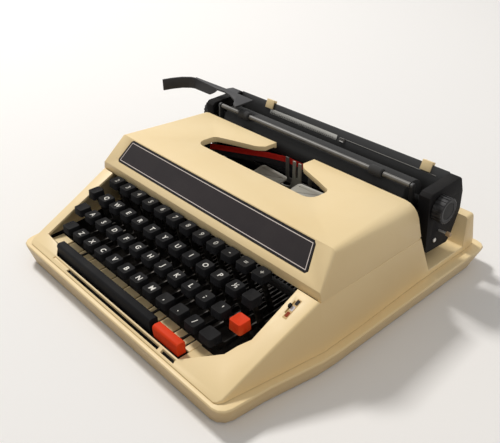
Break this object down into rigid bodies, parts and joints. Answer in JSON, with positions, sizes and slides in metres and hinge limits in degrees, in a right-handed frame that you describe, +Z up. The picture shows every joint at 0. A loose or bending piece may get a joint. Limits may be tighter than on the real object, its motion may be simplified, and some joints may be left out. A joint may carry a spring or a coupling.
{
  "type": "manual typewriter",
  "caption": "Portable manual typewriter: cream shell in a flared tray, hinged ribbon cover, four key rows, type basket and a sliding carriage with platen and return lever.",
  "frame": {"origin": "on the table plane under the middle of the tray, in the machine's middle plane, 1.5 mm below the flat underside", "axes": "+X to the typist's right along the carriage's travel, +Y from the keyboard to the rear, +Z up"},
  "size_m": [0.3784, 0.3218, 0.112],
  "materials": {
    "cream_plastic": "fine-grained moulded shell, slightly aged",
    "black_panel": "satin black panel with a thin white line",
    "black_key": "satin black keycaps",
    "red_key": "satin red keycaps",
    "black_enamel": "black enamelled steel",
    "bright_steel": "bright steel",
    "dark_steel": "dull, oiled steel",
    "platen_rubber": "black rubber",
    "ribbon_cloth": "inked two-colour ribbon"
  },
  "bodies": {
    "machine": {"base_tray": "cream_plastic", "keyboard_housing": "cream_plastic", "main_frame": "black_enamel", "type_basket": "dark_steel", "ink_ribbon": "ribbon_cloth"},
    "ribbon_cover": {"ribbon_cover": "cream_plastic", "cover_inlay": "black_panel"},
    "carriage": {"carriage_frame": "black_enamel", "paper_table": "black_enamel"},
    "return_lever": {"return_lever": "black_enamel"},
    "paper_bail": {"paper_bail": "black_enamel"},
    "typebar_h": {"typebar_h": "bright_steel"},
    "ribbon_vibrator": {"ribbon_vibrator": "bright_steel"},
    "platen": {"platen": "platen_rubber"},
    "color_selector": {"color_selector": "black_key"},
    "margin_stop_left": {"margin_stop_left": "cream_plastic"},
    "margin_stop_right": {"margin_stop_right": "cream_plastic"},
    "ribbon_spool_left": {"ribbon_spool_left": "black_enamel"},
    "ribbon_spool_right": {"ribbon_spool_right": "black_enamel"},
    "bail_roller_left": {"bail_roller_left": "platen_rubber"},
    "bail_roller_right": {"bail_roller_right": "platen_rubber"},
    "number_row_keys": {"number_row_keys": "black_key"},
    "shift_keys": {"shift_keys": "black_key"},
    "margin_release_key": {"margin_release_key": "black_key"},
    "backspace_key": {"backspace_key": "black_key"},
    "red_tab_key": {"red_tab_key": "red_key"},
    "space_bar": {"space_bar": "black_key"},
    "red_tab_bar": {"red_tab_bar": "red_key"},
    "key_q": {"key_q": "black_key"},
    "key_w": {"key_w": "black_key"},
    "key_e": {"key_e": "black_key"},
    "key_r": {"key_r": "black_key"},
    "key_t": {"key_t": "black_key"},
    "key_y": {"key_y": "black_key"},
    "key_u": {"key_u": "black_key"},
    "key_i": {"key_i": "black_key"},
    "key_o": {"key_o": "black_key"},
    "key_p": {"key_p": "black_key"},
    "key_fraction": {"key_fraction": "black_key"},
    "key_a": {"key_a": "black_key"},
    "key_s": {"key_s": "black_key"},
    "key_d": {"key_d": "black_key"},
    "key_f": {"key_f": "black_key"},
    "key_g": {"key_g": "black_key"},
    "key_h": {"key_h": "black_key"},
    "key_j": {"key_j": "black_key"},
    "key_k": {"key_k": "black_key"},
    "key_l": {"key_l": "black_key"},
    "key_semicolon": {"key_semicolon": "black_key"},
    "key_apostrophe": {"key_apostrophe": "black_key"},
    "key_z": {"key_z": "black_key"},
    "key_x": {"key_x": "black_key"},
    "key_c": {"key_c": "black_key"},
    "key_v": {"key_v": "black_key"},
    "key_b": {"key_b": "black_key"},
    "key_n": {"key_n": "black_key"},
    "key_m": {"key_m": "black_key"},
    "key_comma": {"key_comma": "black_key"},
    "key_period": {"key_period": "black_key"},
    "key_slash": {"key_slash": "black_key"}
  },
  "joints": [
    {"name": "cover_hinge", "type": "hinge", "parent": "machine", "child": "ribbon_cover", "pos_m": [0, 0.05815, 0.088], "axis": [-1, 0, 0], "range_deg": [0, 60]},
    {"name": "carriage_travel", "type": "slide", "parent": "machine", "child": "carriage", "axis": [1, 0, 0], "range_m": [-0.108, 0.108]},
    {"name": "return_lever_swing", "type": "hinge", "parent": "carriage", "child": "return_lever", "pos_m": [-0.129, 0.09965, 0.107], "axis": [0, 0, -1], "range_deg": [-30, 0], "stiffness_Nm_per_rad": 0.1, "springref_deg": 28.65},
    {"name": "bail_swing", "type": "hinge", "parent": "carriage", "child": "paper_bail", "pos_m": [0, 0.08265, 0.07], "axis": [1, 0, 0], "range_deg": [0, 14], "stiffness_Nm_per_rad": 0.3, "springref_deg": -17.19},
    {"name": "key_h_press", "type": "hinge", "parent": "machine", "child": "key_h", "pos_m": [-0.00596, 0.03915, 0.03], "axis": [1, 0, 0], "range_deg": [0, 4.35], "stiffness_Nm_per_rad": 0.5, "springref_deg": -6.88},
    {"name": "typebar_h_swing", "type": "hinge", "parent": "machine", "child": "typebar_h", "pos_m": [0, 0.04715, 0.0465], "axis": [-1, 0, 0], "range_deg": [0, 125]},
    {"name": "vibrator_lift", "type": "slide", "parent": "machine", "child": "ribbon_vibrator", "axis": [0, 0, 1], "range_m": [0, 0.0062]},
    {"name": "space_bar_press", "type": "hinge", "parent": "machine", "child": "space_bar", "pos_m": [-0.025, 0.03915, 0.03], "axis": [1, 0, 0], "range_deg": [0, 2.82], "stiffness_Nm_per_rad": 1.2, "springref_deg": -6.88},
    {"name": "platen_turn", "type": "hinge", "parent": "carriage", "child": "platen", "pos_m": [0, 0.09115, 0.084], "axis": [1, 0, 0], "continuous": true},
    {"name": "selector_slide", "type": "slide", "parent": "machine", "child": "color_selector", "axis": [0, -0.9106, -0.4134], "range_m": [-0.0045, 0.0045]},
    {"name": "margin_stop_left_slide", "type": "slide", "parent": "carriage", "child": "margin_stop_left", "axis": [1, 0, 0], "range_m": [-0.015, 0.06]},
    {"name": "margin_stop_right_slide", "type": "slide", "parent": "carriage", "child": "margin_stop_right", "axis": [1, 0, 0], "range_m": [-0.06, 0.015]},
    {"name": "spool_left_turn", "type": "hinge", "parent": "machine", "child": "ribbon_spool_left", "pos_m": [-0.104, 0.01715, 0.062], "axis": [0, 0, 1], "continuous": true},
    {"name": "spool_right_turn", "type": "hinge", "parent": "machine", "child": "ribbon_spool_right", "pos_m": [0.104, 0.01715, 0.062], "axis": [0, 0, 1], "continuous": true},
    {"name": "bail_roller_left_turn", "type": "hinge", "parent": "paper_bail", "child": "bail_roller_left", "pos_m": [-0.088, 0.07985, 0.1005], "axis": [1, 0, 0], "continuous": true},
    {"name": "bail_roller_right_turn", "type": "hinge", "parent": "paper_bail", "child": "bail_roller_right", "pos_m": [0.088, 0.07985, 0.1005], "axis": [1, 0, 0], "continuous": true},
    {"name": "number_row_keys_press", "type": "hinge", "parent": "machine", "child": "number_row_keys", "pos_m": [0, 0.03915, 0.03], "axis": [1, 0, 0], "range_deg": [0, 5.95], "stiffness_Nm_per_rad": 5, "springref_deg": -6.88},
    {"name": "shift_keys_press", "type": "hinge", "parent": "machine", "child": "shift_keys", "pos_m": [0, 0.03915, 0.03], "axis": [1, 0, 0], "range_deg": [0, 3.83], "stiffness_Nm_per_rad": 2.5, "springref_deg": -6.88},
    {"name": "margin_release_key_press", "type": "hinge", "parent": "machine", "child": "margin_release_key", "pos_m": [-0.12502, 0.03915, 0.03], "axis": [1, 0, 0], "range_deg": [0, 5.02], "stiffness_Nm_per_rad": 0.5, "springref_deg": -6.88},
    {"name": "backspace_key_press", "type": "hinge", "parent": "machine", "child": "backspace_key", "pos_m": [0.10358, 0.03915, 0.03], "axis": [1, 0, 0], "range_deg": [0, 5.02], "stiffness_Nm_per_rad": 0.5, "springref_deg": -6.88},
    {"name": "red_tab_key_press", "type": "hinge", "parent": "machine", "child": "red_tab_key", "pos_m": [0.1104, 0.03915, 0.03], "axis": [1, 0, 0], "range_deg": [0, 4.37], "stiffness_Nm_per_rad": 0.5, "springref_deg": -6.88},
    {"name": "red_tab_bar_press", "type": "hinge", "parent": "machine", "child": "red_tab_bar", "pos_m": [0.0705, 0.03915, 0.03], "axis": [1, 0, 0], "range_deg": [0, 2.81], "stiffness_Nm_per_rad": 0.5, "springref_deg": -6.88},
    {"name": "key_q_press", "type": "hinge", "parent": "machine", "child": "key_q", "pos_m": [-0.10597, 0.03915, 0.03], "axis": [1, 0, 0], "range_deg": [0, 5.02], "stiffness_Nm_per_rad": 0.5, "springref_deg": -6.88},
    {"name": "key_w_press", "type": "hinge", "parent": "machine", "child": "key_w", "pos_m": [-0.08693, 0.03915, 0.03], "axis": [1, 0, 0], "range_deg": [0, 5.02], "stiffness_Nm_per_rad": 0.5, "springref_deg": -6.88},
    {"name": "key_e_press", "type": "hinge", "parent": "machine", "child": "key_e", "pos_m": [-0.06788, 0.03915, 0.03], "axis": [1, 0, 0], "range_deg": [0, 5.02], "stiffness_Nm_per_rad": 0.5, "springref_deg": -6.88},
    {"name": "key_r_press", "type": "hinge", "parent": "machine", "child": "key_r", "pos_m": [-0.04883, 0.03915, 0.03], "axis": [1, 0, 0], "range_deg": [0, 5.02], "stiffness_Nm_per_rad": 0.5, "springref_deg": -6.88},
    {"name": "key_t_press", "type": "hinge", "parent": "machine", "child": "key_t", "pos_m": [-0.02977, 0.03915, 0.03], "axis": [1, 0, 0], "range_deg": [0, 5.02], "stiffness_Nm_per_rad": 0.5, "springref_deg": -6.88},
    {"name": "key_y_press", "type": "hinge", "parent": "machine", "child": "key_y", "pos_m": [-0.01073, 0.03915, 0.03], "axis": [1, 0, 0], "range_deg": [0, 5.02], "stiffness_Nm_per_rad": 0.5, "springref_deg": -6.88},
    {"name": "key_u_press", "type": "hinge", "parent": "machine", "child": "key_u", "pos_m": [0.00833, 0.03915, 0.03], "axis": [1, 0, 0], "range_deg": [0, 5.02], "stiffness_Nm_per_rad": 0.5, "springref_deg": -6.88},
    {"name": "key_i_press", "type": "hinge", "parent": "machine", "child": "key_i", "pos_m": [0.02738, 0.03915, 0.03], "axis": [1, 0, 0], "range_deg": [0, 5.02], "stiffness_Nm_per_rad": 0.5, "springref_deg": -6.88},
    {"name": "key_o_press", "type": "hinge", "parent": "machine", "child": "key_o", "pos_m": [0.04643, 0.03915, 0.03], "axis": [1, 0, 0], "range_deg": [0, 5.02], "stiffness_Nm_per_rad": 0.5, "springref_deg": -6.88},
    {"name": "key_p_press", "type": "hinge", "parent": "machine", "child": "key_p", "pos_m": [0.06548, 0.03915, 0.03], "axis": [1, 0, 0], "range_deg": [0, 5.02], "stiffness_Nm_per_rad": 0.5, "springref_deg": -6.88},
    {"name": "key_fraction_press", "type": "hinge", "parent": "machine", "child": "key_fraction", "pos_m": [0.08453, 0.03915, 0.03], "axis": [1, 0, 0], "range_deg": [0, 5.02], "stiffness_Nm_per_rad": 0.5, "springref_deg": -6.88},
    {"name": "key_a_press", "type": "hinge", "parent": "machine", "child": "key_a", "pos_m": [-0.10121, 0.03915, 0.03], "axis": [1, 0, 0], "range_deg": [0, 4.35], "stiffness_Nm_per_rad": 0.5, "springref_deg": -6.88},
    {"name": "key_s_press", "type": "hinge", "parent": "machine", "child": "key_s", "pos_m": [-0.08216, 0.03915, 0.03], "axis": [1, 0, 0], "range_deg": [0, 4.35], "stiffness_Nm_per_rad": 0.5, "springref_deg": -6.88},
    {"name": "key_d_press", "type": "hinge", "parent": "machine", "child": "key_d", "pos_m": [-0.06311, 0.03915, 0.03], "axis": [1, 0, 0], "range_deg": [0, 4.35], "stiffness_Nm_per_rad": 0.5, "springref_deg": -6.88},
    {"name": "key_f_press", "type": "hinge", "parent": "machine", "child": "key_f", "pos_m": [-0.04406, 0.03915, 0.03], "axis": [1, 0, 0], "range_deg": [0, 4.35], "stiffness_Nm_per_rad": 0.5, "springref_deg": -6.88},
    {"name": "key_g_press", "type": "hinge", "parent": "machine", "child": "key_g", "pos_m": [-0.02501, 0.03915, 0.03], "axis": [1, 0, 0], "range_deg": [0, 4.35], "stiffness_Nm_per_rad": 0.5, "springref_deg": -6.88},
    {"name": "key_j_press", "type": "hinge", "parent": "machine", "child": "key_j", "pos_m": [0.01309, 0.03915, 0.03], "axis": [1, 0, 0], "range_deg": [0, 4.35], "stiffness_Nm_per_rad": 0.5, "springref_deg": -6.88},
    {"name": "key_k_press", "type": "hinge", "parent": "machine", "child": "key_k", "pos_m": [0.03214, 0.03915, 0.03], "axis": [1, 0, 0], "range_deg": [0, 4.35], "stiffness_Nm_per_rad": 0.5, "springref_deg": -6.88},
    {"name": "key_l_press", "type": "hinge", "parent": "machine", "child": "key_l", "pos_m": [0.05119, 0.03915, 0.03], "axis": [1, 0, 0], "range_deg": [0, 4.35], "stiffness_Nm_per_rad": 0.5, "springref_deg": -6.88},
    {"name": "key_semicolon_press", "type": "hinge", "parent": "machine", "child": "key_semicolon", "pos_m": [0.07024, 0.03915, 0.03], "axis": [1, 0, 0], "range_deg": [0, 4.35], "stiffness_Nm_per_rad": 0.5, "springref_deg": -6.88},
    {"name": "key_apostrophe_press", "type": "hinge", "parent": "machine", "child": "key_apostrophe", "pos_m": [0.08929, 0.03915, 0.03], "axis": [1, 0, 0], "range_deg": [0, 4.35], "stiffness_Nm_per_rad": 0.5, "springref_deg": -6.88},
    {"name": "key_z_press", "type": "hinge", "parent": "machine", "child": "key_z", "pos_m": [-0.09169, 0.03915, 0.03], "axis": [1, 0, 0], "range_deg": [0, 3.83], "stiffness_Nm_per_rad": 0.5, "springref_deg": -6.88},
    {"name": "key_x_press", "type": "hinge", "parent": "machine", "child": "key_x", "pos_m": [-0.07264, 0.03915, 0.03], "axis": [1, 0, 0], "range_deg": [0, 3.83], "stiffness_Nm_per_rad": 0.5, "springref_deg": -6.88},
    {"name": "key_c_press", "type": "hinge", "parent": "machine", "child": "key_c", "pos_m": [-0.05359, 0.03915, 0.03], "axis": [1, 0, 0], "range_deg": [0, 3.83], "stiffness_Nm_per_rad": 0.5, "springref_deg": -6.88},
    {"name": "key_v_press", "type": "hinge", "parent": "machine", "child": "key_v", "pos_m": [-0.03454, 0.03915, 0.03], "axis": [1, 0, 0], "range_deg": [0, 3.83], "stiffness_Nm_per_rad": 0.5, "springref_deg": -6.88},
    {"name": "key_b_press", "type": "hinge", "parent": "machine", "child": "key_b", "pos_m": [-0.01549, 0.03915, 0.03], "axis": [1, 0, 0], "range_deg": [0, 3.83], "stiffness_Nm_per_rad": 0.5, "springref_deg": -6.88},
    {"name": "key_n_press", "type": "hinge", "parent": "machine", "child": "key_n", "pos_m": [0.00356, 0.03915, 0.03], "axis": [1, 0, 0], "range_deg": [0, 3.83], "stiffness_Nm_per_rad": 0.5, "springref_deg": -6.88},
    {"name": "key_m_press", "type": "hinge", "parent": "machine", "child": "key_m", "pos_m": [0.02261, 0.03915, 0.03], "axis": [1, 0, 0], "range_deg": [0, 3.83], "stiffness_Nm_per_rad": 0.5, "springref_deg": -6.88},
    {"name": "key_comma_press", "type": "hinge", "parent": "machine", "child": "key_comma", "pos_m": [0.04166, 0.03915, 0.03], "axis": [1, 0, 0], "range_deg": [0, 3.83], "stiffness_Nm_per_rad": 0.5, "springref_deg": -6.88},
    {"name": "key_period_press", "type": "hinge", "parent": "machine", "child": "key_period", "pos_m": [0.06071, 0.03915, 0.03], "axis": [1, 0, 0], "range_deg": [0, 3.83], "stiffness_Nm_per_rad": 0.5, "springref_deg": -6.88},
    {"name": "key_slash_press", "type": "hinge", "parent": "machine", "child": "key_slash", "pos_m": [0.07976, 0.03915, 0.03], "axis": [1, 0, 0], "range_deg": [0, 3.83], "stiffness_Nm_per_rad": 0.5, "springref_deg": -6.88}
  ],
  "couplings": [
    {"joint": "typebar_h_swing", "follows": "key_h_press", "ratio": 28.713},
    {"joint": "vibrator_lift", "follows": "key_h_press", "m_per_rad": 0.079029}
  ]
}
